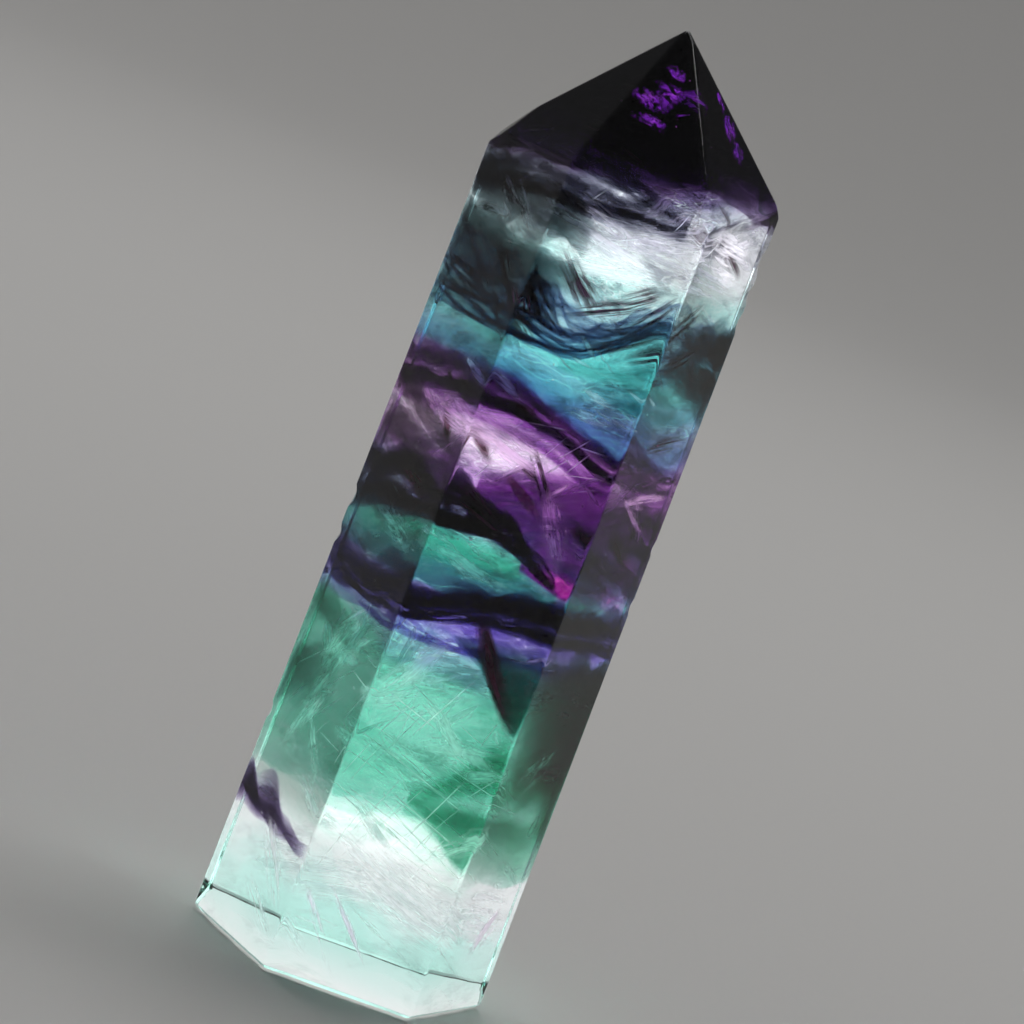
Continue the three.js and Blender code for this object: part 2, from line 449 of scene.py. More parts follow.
# The outside takes the place of the CAD stone, with the normals of the rounded facets and of the bites.
def makeStone():
    grid, normal, worn, bitten = stoneGrid()
    mesh = closedSurface(stone["name"], [grid], {"worn": [worn], "bitten": [bitten]})
    mesh.normals_split_custom_set_from_vertices(asVertices(normal).tolist())
    piece = addToStone(addObject(stone["name"], mesh, stoneMaterial()), inside=False)
    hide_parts(nodeName)
    print("stone:", len(mesh.polygons), "faces")


# Colour zones inside the crystal. The dark zones along the left and right margins, the one under the front
# shoulder and the two beside the crack low on the front are painted shade: they darken those parts of the
# stone as shade would, and are not colour of the crystal. Heights are in mm at five places across the stone,
# from the left corner by the two front edges and the middle between them to the right corner. turn swings
# that row of places round the axis, and span is where along it the zone starts and ends. tint is what a
# centimetre does to white light, dip the rise towards the back, ripple the height of the waves, and sheets
# how many layers there are.
zoneStations = np.array([-14.5, -6.5, 0.8, 8.0, 14.5])
zones = {
    "inset": 0.22,  # mm that a zone stays inside the stone
    "fill": 0.7,  # how much of a layered zone its layers take up
    "tintDepth": 10.0,  # mm that a tint is stated for
    "rings": [0.0, 0.1, 0.22, 0.35, 0.48, 0.6, 0.71, 0.81, 0.89, 0.95, 0.985, 1.0],  # shares of the way out
    "columns": 108,
    "wallRows": 6,
    "blur": 1.6,  # mm to both sides over which the heights between the places are smoothed
    "uneven": (0.7, 1.8),  # waves in a layer's depth: as a share of it, and at most so many mm
    "swing": (0.1, 2),  # the least and most of its depth that they leave
    "waveLength": 8.0,
    "halfWidth": 11,  # mm: the middle of a zone is nearer to the axis than this
    "front": 12.5,  # mm from the axis to the front side, where heights are stated
    "highestMiddle": 78.0,
    "cuts": (0.6, 1.4),  # how unevenly a zone is cut into layers
    "seeds": (100, 400, 40),  # of the cuts and the waves, and the step from zone to zone
    "dip": -0.1,  # the usual rise towards the back, per mm
}
zoneLayers = {
    "tip_violet": {"tint": (0.006, 0.002, 0.011), "dip": -0.05, "ripple": 0.6,
        "top": (99, 99, 99, 99, 99), "bottom": (77.5, 79.4, 79.2, 80.4, 80.6)},
    # painted shade: a dark lens that darkens the stone just under the shoulder, on the left and front
    "shoulder_shade": {"tint": (0.05, 0.05, 0.08), "ripple": 0.4, "sheets": 2, "span": (-20, 6),
        "top": (78.6, 79.0, 78.4, 77.8, 77.6), "bottom": (74.2, 76.2, 76.8, 77.4, 77.2)},
    # painted shade: darkens the left margin of the stone high up, more the nearer the left side
    "left_high_painted_shade": {"tint": (0.015, 0.024, 0.028), "ripple": 0.8, "sheets": 3, "turn": 207,
        "span": (7, 20), "top": (76, 76, 76, 78, 84), "bottom": (71, 71, 71, 67, 61)},
    "chevron_strands": {"tint": (0.026, 0.036, 0.09), "ripple": 0.45, "sheets": 5, "fill": 0.34,
        "top": (72.5, 70.6, 66.2, 71.6, 65.5), "bottom": (66.0, 63.4, 63.2, 69.4, 61.5)},
    # painted shade: darkens the right margin of the stone high up
    "right_high_painted_shade": {"tint": (0.005, 0.012, 0.016), "ripple": 0.7, "sheets": 2, "fill": 0.85,
        "span": (8.0, 20), "top": (68, 68, 68, 69.6, 72.0), "bottom": (66, 66, 66, 64.6, 60.6)},
    "turquoise": {"tint": (0.58, 0.85, 0.84), "ripple": 0.6,
        "top": (67.2, 64.2, 64.5, 69.8, 63), "bottom": (60.2, 60.1, 58, 55, 57.6)},
    "sky_seam": {"tint": (0.68, 0.83, 0.88), "ripple": 0.5,
        "top": (61.8, 61.6, 60.2, 57.6, 59.0), "bottom": (60.1, 60.0, 57.9, 55, 57.5)},
    "teal_cloud": {"tint": (0.36, 0.58, 0.58), "ripple": 1.1, "sheets": 3, "span": (-1, 9),
        "top": (62, 62, 62.6, 65.4, 65), "bottom": (61.8, 61.8, 62.2, 60.6, 62)},
    "violet_dome": {"tint": (0.07, 0.022, 0.10), "ripple": 0.4, "sheets": 2,
        "top": (60, 59.9, 58.0, 55.2, 57.4), "bottom": (55.0, 56.6, 56.2, 53.0, 56.0)},
    "violet_fade": {"tint": (0.46, 0.27, 0.54), "ripple": 0.5, "sheets": 2,
        "top": (55.4, 57, 56.6, 53.4, 54.8), "bottom": (53.4, 54.8, 54.2, 51.8, 53)},
    # painted shade: darkens the left margin of the stone halfway up
    "left_middle_painted_shade": {"tint": (0.03, 0.02, 0.03), "ripple": 0.9, "sheets": 2, "turn": 198, "span": (9.2, 20),
        "top": (56, 56, 56, 56, 58), "bottom": (50, 50, 50, 50, 49)},
    "left_black": {"tint": (0.03, 0.02, 0.045), "ripple": 0.5, "sheets": 2, "span": (-20, 6.4),
        "top": (50.5, 49.8, 46.8, 41.9, 41.6), "bottom": (42.0, 44.6, 44.8, 41.8, 41.5)},
    "right_purple": {"tint": (0.46, 0.26, 0.52), "ripple": 0.5, "span": (-4, 20),
        "top": (48, 48, 51.8, 53.6, 54), "bottom": (47, 46.6, 44.6, 43.4, 43.0)},
    # painted shade: darkens the right margin of the stone halfway up
    "right_middle_painted_shade": {"tint": (0.03, 0.015, 0.045), "ripple": 0.7, "sheets": 3, "turn": -4,
        "span": (8.9, 20), "top": (52, 52, 52, 52, 53.4), "bottom": (48, 48, 48, 46, 42.3)},
    "magenta_glow": {"tint": (0.90, 0.28, 0.72), "ripple": 0.3, "span": (2.5, 8.6),
        "top": (43.6, 43.6, 43.6, 43.6, 43), "bottom": (43.5, 43.5, 43.5, 41.6, 41.6)},
    "teal_dome": {"tint": (0.42, 0.70, 0.64), "ripple": 0.6, "span": (-20, 7),
        "top": (42.4, 44.6, 44.2, 41.4, 41.2), "bottom": (40.6, 38.6, 38.8, 40.8, 41.0)},
    "dark_band": {"tint": (0.02, 0.015, 0.06), "ripple": 0.4, "sheets": 2,
        "top": (40.8, 37.8, 40.0, 41.8, 42.4), "bottom": (37.2, 34.8, 37.2, 37.6, 37.0)},
    "violet_seam": {"tint": (0.38, 0.29, 0.62), "ripple": 0.5, "sheets": 3,
        "top": (38, 35.6, 37, 37.6, 37), "bottom": (37.4, 33.8, 33.6, 35.2, 36)},
    # painted shade: darkens the right margin of the stone low down, more the nearer the right side
    "right_shade": {"tint": (0.005, 0.024, 0.016), "ripple": 1.0, "turn": -4, "span": (8.8, 20),
        "top": (34.2, 34.2, 34.2, 36, 37), "bottom": (28, 28, 28, 27, 16)},
    # painted shade: darkens the stone to the right of the crack low on the front
    "rod_shade": {"tint": (0.26, 0.38, 0.38), "ripple": 0.3, "span": (-1, 20),
        "top": (35, 35, 35, 35.4, 36), "bottom": (35, 35, 35, 27.5, 24)},
    # painted shade: darkens the left margin of the stone low down
    "left_shade": {"tint": (0.05, 0.13, 0.11), "ripple": 1.0, "sheets": 2, "turn": 188, "span": (10, 20),
        "top": (33, 33, 33, 33, 35), "bottom": (29, 29, 29, 28, 21)},
    # painted shadow: a darker wedge to the right of the crack low on the front
    "green_shadow": {"tint": (0.42, 0.68, 0.59), "ripple": 0.7, "sheets": 2, "span": (0.4, 20),
        "top": (19, 19, 19.4, 29.5, 31), "bottom": (18.8, 18.8, 18.8, 13.8, 14)},
    "emerald": {"tint": (0.59, 0.79, 0.745), "ripple": 0.9,
        "top": (37, 33.6, 33.6, 34, 34), "bottom": (18, 16, 18, 17, 18)},
    "left_wedge": {"tint": (0.02, 0.01, 0.04), "ripple": 0.3, "span": (-20, -6.2),
        "top": (17.6, 12.0, 6.6, 5, 5), "bottom": (14.4, 11.0, 6.4, 5, 5)},
    "mint_foot": {"tint": (0.84, 0.965, 0.94), "dip": 0.0, "ripple": 0.8,
        "top": (6, 8, 7, 6, 8), "bottom": (0.3, 0.3, 0.3, 0.3, 0.3)},
}


# One layer of a zone, from share low to share high of its height: rings run out over its lower face, up its
# wall and in again over its upper face. The lower face is the height between the five places plus its slope
# and small waves, and the layer above it thickens and thins. It ends at its span and just inside the stone.
def zoneGrid(layer, low, high, seed):
    footGap = 0.25  # mm left clear above the foot
    tipGap = 0.1  # mm left clear under the tip's facets
    thinnest = 0.08  # mm of depth
    narrowest = 0.1  # mm from the middle to the rim
    endless = 30  # mm, past both corners
    tipRise = 0.2  # normals of the tip's facets rise more than this
    level = 1e-6  # keeps the limit finite square to the row of places
    share = np.array(zones["rings"])[:, None]
    turn = math.radians(layer.get("turn", 0))
    start, end = layer.get("span", (-endless, endless))
    bottom = np.array(layer["bottom"], dtype=float)
    depth = np.array(layer["top"], dtype=float) - bottom
    middle = (max(start, -zones["halfWidth"]) + min(end, zones["halfWidth"])) / 2
    middleHeight = min((bottom + depth / 2).mean(), zones["highestMiddle"])
    angle = np.linspace(0, math.tau, zones["columns"], endpoint=False)
    outward = np.stack([np.cos(angle), np.sin(angle), np.zeros_like(angle)], axis=-1)
    origin = np.zeros_like(outward)
    origin[:] = middle * math.cos(turn), middle * math.sin(turn), middleHeight
    lean = np.cos(angle - turn)
    limit = np.where(lean > 0, end - middle, middle - start) / np.maximum(np.abs(lean), level)
    far = np.maximum(np.minimum(reachFacets(origin, outward), limit) - zones["inset"], narrowest)
    x = origin[:, 0] + share * far * np.cos(angle)
    y = origin[:, 1] + share * far * np.sin(angle)
    rising = facetNormals[:, 2] > tipRise
    n = facetNormals[rising]
    roof = (facetReach[rising] - x[..., None] * n[:, 0] - y[..., None] * n[:, 1] - zones["inset"]) / n[:, 2]
    roof = roof.min(axis=-1)
    across = x * math.cos(turn) + y * math.sin(turn)
    back = y * math.cos(turn) - x * math.sin(turn)
    steps = (-zones["blur"], 0, zones["blur"])
    base = sum(np.interp(across + step, zoneStations, bottom) for step in steps) / len(steps)
    deep = sum(np.interp(across + step, zoneStations, depth) for step in steps) / len(steps)
    most, atMost = zones["uneven"]
    uneven = np.minimum(most * deep, atMost) * ripple(x, y, seed + 1, longest=zones["waveLength"])
    least, greatest = zones["swing"]
    deep = np.clip(deep + uneven, least * deep, greatest * deep)
    slope = layer.get("dip", zones["dip"]) * (back + zones["front"])
    base = base + slope + layer["ripple"] * ripple(x, y, seed)
    lower = np.clip(base + low * deep, footGap, roof - tipGap)
    upper = np.maximum(np.minimum(base + high * deep, roof), lower + thinnest)
    rise = np.linspace(0, 1, zones["wallRows"])[1:-1, None]
    wall = lower[-1] + rise * (upper[-1] - lower[-1])
    rim = np.ones_like(rise)
    return np.stack([
        np.concatenate([x, rim * x[-1], x[::-1]]),
        np.concatenate([y, rim * y[-1], y[::-1]]),
        np.concatenate([lower, wall, upper[::-1]]),
    ], axis=-1)


# Plain absorption inside, and faces that let all light through.
def zoneMaterial(name, layer):
    material, tree = newMaterial(name)
    clear = addNode(tree, "ShaderNodeBsdfTransparent", {"Color": (1.0, 1.0, 1.0, 1.0)})
    out = addNode(tree, "ShaderNodeOutputMaterial", {"Surface": clear.outputs[0]})
    tree.links.new(absorption(tree, layer["tint"], zones["tintDepth"]), out.inputs["Volume"])
    return material


# A zone of several sheets is cut at uneven heights, with a clear gap above each sheet.
def makeZones():
    cutSeed, waveSeed, seedStep = zones["seeds"]
    for number, (name, layer) in enumerate(zoneLayers.items()):
        rng = np.random.default_rng(cutSeed + number)
        count = layer.get("sheets", 1)
        cuts = np.concatenate([[0], np.cumsum(rng.uniform(*zones["cuts"], count))])
        cuts = cuts / cuts[-1]
        grids = []
        for k in range(count):
            fill = 1.0 if count == 1 else layer.get("fill", zones["fill"])
            high = cuts[k] + fill * (cuts[k + 1] - cuts[k])
            grids.append(zoneGrid(layer, cuts[k], high, waveSeed + seedStep * number + 2 * k))
        mesh = closedSurface(name, grids)
        addToStone(addObject(name, mesh, zoneMaterial(name, layer)))
    print("zones:", len(zoneLayers))


# Sheets: thin healed cracks and cleavage planes inside the crystal. Each is its place in mm, half its width
# and height, and in degrees its heading round the axis, its lean back and its roll, with a bow in mm. scatter
# adds small ones: how many, the low and high corner of the space they fill, their half sizes, and their roll
# give or take. fibre is how fast the pattern runs along and across a sheet, cut where its film starts and is
# full, and square more than 2 makes a sheet a rectangle instead of round.
sheets = {}
sheets["white_veils"] = {
    "tint": (0.97, 0.96, 0.98), "strength": 0.8, "fibre": (0.10, 1.1), "cut": (0.42, 0.64),
    "large": [
        ((-1.5, -8.5, 74.2), 7.5, 2.6, 4, 10, -12, 0.8), ((3.5, -6.0, 75.5), 6.5, 2.8, -8, -12, 18, -0.7),
        ((-8.5, -5.0, 73.8), 5.5, 2.4, -56, 10, -30, 0.6), ((10.0, -4.8, 76.0), 5.5, 3.2, 60, 6, -8, 0.5),
        ((9.5, -3.0, 77.0), 4.6, 2.5, 60, -10, 25, 0.5), ((0.5, -9.8, 71.6), 7.0, 1.5, 3, -6, 7, 0.5),
        ((2.0, 2.0, 73.0), 9.0, 2.4, 10, 20, -6, 1.0), ((1.0, -8.5, 11.0), 8.0, 3.0, 2, 8, -22, 0.8),
        ((4.5, -5.5, 9.5), 7.0, 3.4, -10, -10, -18, -0.8), ((10.5, -4.0, 10.0), 5.5, 4.0, 60, 8, -10, 0.6),
        ((-8.0, -6.5, 8.5), 6.0, 1.6, -58, 10, -40, 0.5), ((0.0, 3.0, 8.0), 10.0, 3.4, 0, -14, 10, 1.0),
    ],
    "scatter": [
        (16, (-9, -10, 70.5), (10, 8, 78.5), (1.5, 5.0), (0.25, 1.0), 0, 15),
        (10, (-8, -10, 3), (11, 8, 15), (2.0, 5.0), (0.3, 1.2), -24, 15),
        (8, (-10, -9, 59), (10, 6, 66), (1.5, 4.0), (0.15, 0.5), -10, 15),
        (110, (-11, -11, 4), (12, 4, 80), (0.08, 0.3), (0.06, 0.2), 0, 60),
    ],
}
sheets["rose_veils"] = {
    "tint": (0.99, 0.84, 0.97), "strength": 0.9, "fibre": (0.14, 0.9), "cut": (0.40, 0.64),
    "large": [
        ((-2.6, -9.0, 53.2), 5.4, 2.2, 2, 6, -14, 0.7), ((-4.6, -7.0, 53.6), 6.0, 1.9, -20, -8, -8, 0.5),
        ((-9.0, -4.5, 53.4), 4.2, 1.5, -60, 6, -24, 0.4), ((11.0, -4.5, 52.0), 5.2, 0.9, 62, 5, 6, 0.3),
        ((11.0, -4.4, 50.0), 4.4, 0.55, 62, 0, -24, 0.2), ((4.2, -8.5, 47.6), 4.6, 1.4, -5, 12, -62, 0.4),
        ((-1.0, 4.0, 53.0), 8.0, 2.0, 0, -10, 10, 0.6), ((-3.0, -11.0, 5.2), 5.2, 0.5, 0, 6, -54, 0.3),
        ((-0.6, -10.5, 6.4), 4.4, 0.4, 0, -6, -48, 0.3), ((11.6, -3.0, 8.0), 3.4, 1.4, 62, 0, 60, 0.2),
    ],
    "scatter": [
        (12, (-7, -10, 49), (6, 6, 56), (1.2, 3.6), (0.15, 0.6), 30, 15),
        (8, (6, -9, 43), (12, 2, 54), (1.2, 3.0), (0.15, 0.5), -30, 15),
        (6, (-4, -10, 33.5), (8, 4, 37.5), (1.2, 3.5), (0.15, 0.4), -8, 15),
    ],
}
sheets["green_veils"] = {
    "tint": (0.82, 0.99, 0.94), "strength": 0.9, "fibre": (0.16, 0.7), "cut": (0.43, 0.65),
    "large": [
        ((-2.5, -9.5, 42.2), 5.0, 2.2, 0, 6, -14, 0.6), ((-8.5, -6.0, 42.0), 4.5, 1.8, -60, -6, -10, 0.5),
        ((-2.0, -8.8, 29.0), 6.0, 3.6, 4, 10, 32, 0.8), ((-9.4, -5.6, 29.5), 5.0, 2.6, -62, -5, 58, 0.5),
        ((-10.2, -4.8, 23.0), 5.4, 1.6, -62, 5, 64, 0.4), ((-8.4, -6.6, 20.0), 5.0, 1.0, -62, -5, -52, 0.4),
        ((-9.8, -5.2, 26.5), 5.2, 1.1, -62, 0, 62, 0.3), ((-9.2, -6.0, 32.2), 4.2, 1.0, -62, 5, 38, 0.3),
        ((-3.2, -10.6, 31.0), 4.8, 1.5, 0, 4, 58, 0.4), ((0.6, -10.2, 27.0), 5.0, 1.3, 3, -5, -36, 0.4),
        ((3.8, -7.5, 24.5), 5.2, 2.4, -6, -12, 10, -0.6), ((10.6, -4.9, 25.0), 4.6, 1.8, 62, 6, 34, 0.4),
        ((0.5, -3.0, 21.0), 8.0, 3.0, 6, 14, -16, 0.8), ((-1.0, 3.0, 30.0), 9.0, 3.4, 0, -10, 14, 0.9),
    ],
    "scatter": [
        (22, (-11, -10.5, 17), (11, 6, 34), (2.0, 5.5), (0.4, 1.6), 24, 30),
        (8, (-9, -10, 39), (3, 4, 45), (1.2, 3.5), (0.15, 0.6), -12, 15),
        (6, (-7, -10, 58), (7, 2, 64), (1.5, 4.0), (0.2, 0.8), -14, 15),
    ],
}
sheets["cleavage_planes"] = {
    "tint": (0.93, 1.0, 0.98), "strength": 0.95, "fibre": (0.25, 0.9), "cut": (0.3, 0.5), "square": 6,
    "large": [
        ((1.5, -11.0, 21.5), 5.2, 0.07, 4, 4, -20, 0), ((3.2, -10.5, 17.8), 4.8, 0.08, 2, -4, -21, 0),
        ((-1.8, -11.0, 18.2), 4.2, 0.07, 5, 6, 67, 0), ((3.4, -11.0, 19.6), 4.6, 0.07, 0, -6, 66, 0),
        ((0.8, -10.5, 15.6), 5.6, 0.08, 0, 4, -22, 0),
    ],
    "scatter": [
        (26, (-5, -11.5, 13), (7, -3, 29), (1.5, 6.5), (0.03, 0.08), -20, 4),
        (20, (-5, -11.5, 13), (7, -3, 29), (1.2, 5.0), (0.03, 0.08), 66, 4),
        (10, (-12, -9, 18), (-6, 0, 34), (1.2, 4.5), (0.03, 0.07), 50, 10),
        (12, (-4, -11, 48), (7, 0, 57), (0.8, 2.6), (0.03, 0.07), 40, 20),
        (12, (-6, -11, 70), (8, 0, 79), (1.0, 3.5), (0.03, 0.06), 20, 40),
    ],
}
sheets["dark_plates"] = {
    "tint": (0.06, 0.012, 0.035), "strength": 0.9, "fibre": (0.06, 1.9), "cut": (0.44, 0.6),
    "large": [
        ((-2.5, -10.5, 46.4), 4.8, 1.1, 2, 4, -18, 0.3), ((10.8, -4.4, 64.6), 4.4, 0.9, 62, 4, -50, 0.3),
        ((-9.5, -4.5, 67.5), 5.5, 1.4, -60, 4, -32, 0.3), ((11.0, -4.4, 57.6), 4.6, 1.0, 62, 4, 10, 0.3),
    ],
    "scatter": [
        (7, (-7, -10.5, 64), (-1, 0, 70), (2.5, 4.5), (0.7, 1.5), -44, 6),
        (5, (1, -10.5, 65), (8, 0, 70), (2.5, 4.5), (0.7, 1.4), 32, 6),
        (3, (-9, -10.5, 74), (9, 4, 79), (2.5, 5.0), (0.6, 1.3), -20, 12),
        (4, (-9, -10.5, 43), (6, 4, 57), (2.0, 4.5), (0.6, 1.3), -28, 12),
    ],
}
sheets["maroon_plates"] = {
    "tint": (0.11, 0.012, 0.03), "strength": 0.85, "fibre": (0.10, 0.45), "cut": (0.25, 0.55),
    "large": [
        ((4.0, -9.8, 32.8), 7.1, 1.05, 0, 8, -53, 0.1), ((2.8, -7.5, 34.7), 4.6, 0.7, 4, -6, -54, 0.1),
    ],
    "scatter": [
        (6, (-8, -10, 45), (10, 4, 57), (1.5, 4.0), (0.5, 1.2), -30, 15),
    ],
}
sheets["violet_flakes"] = {
    "tint": (0.44, 0.10, 0.58), "strength": 0.88, "fibre": (1.0, 1.7), "cut": (0.42, 0.62),
    "large": [
        ((0.3, -4.6, 88.0), 2.2, 1.2, 0, 39, -10, 0), ((-1.6, -5.6, 86.8), 2.4, 1.0, 5, 36, -20, 0),
        ((1.4, -6.2, 86.0), 2.0, 0.9, -8, 42, 15, 0), ((-0.4, -7.0, 85.0), 2.6, 0.8, 0, 38, -8, 0),
        ((2.4, -5.4, 86.8), 1.6, 1.0, -20, 35, 30, 0), ((0.2, -3.2, 89.8), 1.5, 0.8, 0, 40, -20, 0),
        ((5.3, -6.2, 84.9), 1.9, 1.1, 63, 42, 70, 0), ((3.7, -4.5, 87.5), 1.6, 0.9, 63, 42, 70, 0),
        ((6.3, -0.8, 86.6), 1.8, 1.3, 63, 42, 60, 0), ((4.6, -0.8, 88.6), 1.5, 1.0, 63, 42, 60, 0),
        ((7.8, -1.2, 84.8), 1.6, 1.1, 63, 42, 55, 0),
    ],
    "scatter": [
        (8, (-3.5, -7.0, 84), (3.5, -2.5, 90), (1.4, 3.2), (0.6, 1.6), -15, 25),
    ],
}

# What all sheets share
film = {
    "rings": [0, 0.15, 0.32, 0.5, 0.68, 0.85, 1, 0.85, 0.68, 0.5, 0.32, 0.15, 0],  # shares out and back
    "columns": 36,
    "half": 0.03,  # mm: half the thickness in the middle
    "rimWaves": 0.09,
    "clearance": 0.3,  # mm that a sheet stays inside the stone
    "shares": (1, 0.05, 40),  # the shares of its size that are tried: first, last and how many
    "bowMiddle": 0.4,  # the share of its bow that the middle of a sheet moves the other way
    "wave": (0.12, 0.3),  # at most so many mm, and so much of a sheet's height
    "waveLength": 6.0,
    "turnSpread": (30, 14),  # degrees: heading and lean of scattered sheets, give or take
    "bowSpread": 0.3,
    "seeds": (900, 700, 90),  # of the scatter and the shapes, and the step from group to group
    "apart": 3.7,  # how far the patterns of two sheets lie apart
    "rough": 0.8, "ior": 1.05, "through": 0.4,
}


# Small sheets spread over a space, with seeded places, sizes and turns.
def scatterSheets(count, low, high, wide, tall, roll, spread, rng):
    places = rng.uniform(low, high, (count, 3))
    wides = rng.uniform(*wide, count)
    talls = rng.uniform(*tall, count)
    turns = rng.normal((0, 0, roll), (*film["turnSpread"], spread), (count, 3))
    bows = rng.uniform(-film["bowSpread"], film["bowSpread"], count)
    return [(tuple(p), w, t, *turn, bow) for p, w, t, turn, bow in zip(places, wides, talls, turns, bows)]


# One sheet is a thin lens: rings run from its middle out over one face and back over the other. Its rim is
# uneven and stops inside the stone, and the sheet is bowed and gently waved.
def sheetGrid(sheet, square, seed):
    (x, y, z), wide, tall, heading, lean, roll, bow = sheet
    rng = np.random.default_rng(seed)
    h, l, r = (math.radians(v) for v in (heading, lean, roll))
    along = np.array([math.cos(h), math.sin(h), 0.0])
    out = np.array([math.sin(h) * math.cos(l), -math.cos(h) * math.cos(l), math.sin(l)])
    rise = np.cross(out, along)
    along, rise = along * math.cos(r) + rise * math.sin(r), rise * math.cos(r) - along * math.sin(r)
    angle = np.linspace(0, math.tau, film["columns"], endpoint=False)
    rim = (np.abs(np.cos(angle)) ** square + np.abs(np.sin(angle)) ** square) ** (-1 / square)
    if square == 2:
        waves = film["rimWaves"]
        rim = rim + sum(waves / k * np.sin(k * angle + rng.uniform(0, math.tau)) for k in range(2, 7))
    share = np.array(film["rings"])
    side = np.sign(np.arange(len(share)) - len(share) // 2) * film["half"] * (1 - share ** 2)
    centre = np.array([x, y, z])
    fits = np.ones(len(angle))
    for part in np.linspace(*film["shares"]):
        point = centre + (part * rim * np.cos(angle) * wide)[:, None] * along
        point = point + (part * rim * np.sin(angle) * tall)[:, None] * rise
        gap = -film["clearance"] - abs(bow) * film["bowMiddle"]
        outside = (point @ facetNormals.T - facetReach).max(axis=-1) > gap
        fits = np.where(outside, part, fits)
    a = share[:, None] * fits * rim * np.cos(angle) * wide
    b = share[:, None] * fits * rim * np.sin(angle) * tall
    most, ofHeight = film["wave"]
    wave = min(most, ofHeight * tall) * ripple(a, b, seed, longest=film["waveLength"])
    lift = bow * ((a / wide) ** 2 - film["bowMiddle"]) + wave + side[:, None]
    grid = centre + a[..., None] * along + b[..., None] * rise + lift[..., None] * out
    return grid, {"along": a, "across": b, "rim": np.broadcast_to(share[:, None], a.shape)}


# Film: fibres run along each sheet and thin out towards its rim, and between them the sheet is clear.
def sheetMaterial(name, group):
    material, tree = newMaterial(name)

    def value(key):
        return addNode(tree, "ShaderNodeAttribute", attribute_name=key).outputs["Fac"]

    spot = addNode(tree, "ShaderNodeCombineXYZ", {
        "X": mathNode(tree, "MULTIPLY", value("along"), group["fibre"][0]),
        "Y": mathNode(tree, "MULTIPLY", value("across"), group["fibre"][1]),
        "Z": value("number"),
    }).outputs[0]
    fibre = addNode(tree, "ShaderNodeTexNoise", {
        "Vector": spot, "Scale": 1.0, "Detail": 4.0, "Roughness": 0.68}).outputs["Fac"]
    fade = mapRange(tree, value("rim"), 0.3, 1.0, 1.0, 0.0)
    cover = mathNode(tree, "MULTIPLY", mapRange(tree, fibre, *group["cut"]), fade)
    cover = mathNode(tree, "MULTIPLY", cover, group["strength"])
    shader = addNode(tree, "ShaderNodeBsdfPrincipled", {
        "Base Color": (*group["tint"], 1.0), "Roughness": film["rough"], "IOR": film["ior"],
        "Transmission Weight": film["through"], "Alpha": cover,
    })
    addNode(tree, "ShaderNodeOutputMaterial", {"Surface": shader.outputs[0]})
    return material


# The large and the scattered sheets of a group make one piece.
def makeSheets():
    total = 0
    scatterSeed, shapeSeed, seedStep = film["seeds"]
    for number, (name, group) in enumerate(sheets.items()):
        rng = np.random.default_rng(scatterSeed + number)
        listed = list(group["large"])
        for spread in group["scatter"]:
            listed += scatterSheets(*spread, rng)
        grids = []
        values = {"along": [], "across": [], "rim": [], "number": []}
        for k, sheet in enumerate(listed):
            grid, numbers = sheetGrid(sheet, group.get("square", 2), shapeSeed + seedStep * number + k)
            grids.append(grid)
            numbers["number"] = np.full(grid.shape[:2], film["apart"] * k)
            for key, column in numbers.items():
                values[key].append(column)
        mesh = closedSurface(name, grids, values)
        addToStone(addObject(name, mesh, sheetMaterial(name, group)))
        total += len(listed)
    print("sheets:", total)


# A surface turned round the axis: each row is a circle with the radius and height of a point of the profile.
def turnedSurface(name, radius, height, columns):
    angle = np.linspace(0, math.tau, columns, endpoint=False)
    grid = np.stack([
        radius[:, None] * np.cos(angle),
        radius[:, None] * np.sin(angle),
        np.broadcast_to(height[:, None], (len(radius), columns)),
    ], axis=-1)
    ring = np.arange(len(radius) * columns).reshape(len(radius), columns)
    after = np.roll(ring, -1, axis=1)
    faces = np.stack([ring[:-1], ring[1:], after[1:], after[:-1]], axis=-1).reshape(-1, 4)
    mesh = bpy.data.meshes.new(name)
    mesh.from_pydata(grid.reshape(-1, 3).tolist(), [], faces.tolist())
    return mesh


# Floor, in metres: a pale disc that curves up into a wall far behind.
floor = {
    "rings": [0, 0.05, 0.15, 0.3, 0.5, 0.7],
    "flat": 0.9, "bend": 0.7, "bendRows": 20, "columns": 96,
    "low": -0.0002,  # just under the foot
    "colour": (0.66, 0.65, 0.63), "rough": 0.9,
    "clouds": (3.0, 0.97),  # per metre, and how dark they are
}


# The profile runs level over the rings and then up a quarter circle.
def makeFloor():
    bend = np.linspace(0, math.pi / 2, floor["bendRows"])
    radius = np.concatenate([floor["rings"], floor["flat"] + floor["bend"] * np.sin(bend)])
    rise = floor["bend"] * (1 - np.cos(bend))
    height = np.concatenate([np.zeros(len(floor["rings"])), rise]) + floor["low"]
    mesh = turnedSurface("floor", radius, height, floor["columns"])
    material, tree = newMaterial("pale_floor")
    place = addNode(tree, "ShaderNodeTexCoord").outputs["Object"]
    scale, dim = floor["clouds"]
    cloud = noiseAt(tree, place, scale, detail=2.0)
    low = (*[dim * c for c in floor["colour"]], 1.0)
    colour = mixColour(tree, cloud, low, (*floor["colour"], 1.0))
    shader = addNode(tree, "ShaderNodeBsdfPrincipled", {"Base Color": colour, "Roughness": floor["rough"]})
    addNode(tree, "ShaderNodeOutputMaterial", {"Surface": shader.outputs[0]})
    mesh.polygons.foreach_set("use_smooth", np.ones(len(mesh.polygons), dtype=bool))
    addObject("floor", mesh, material)
    print("floor done")


# Light: a dim soft world and large soft boxes high behind.
light = {
    "world": (0.10, 0.10, 0.105),
    "aim": 0.04,  # metres above the floor
    "boxes": [  # name, azimuth and elevation in degrees, distance and size in metres, radiance
        ("back_left", 108, 66, 1.2, 0.7, 3.2),
        ("back_right", 40, 62, 1.2, 0.5, 2.4),
    ],
}


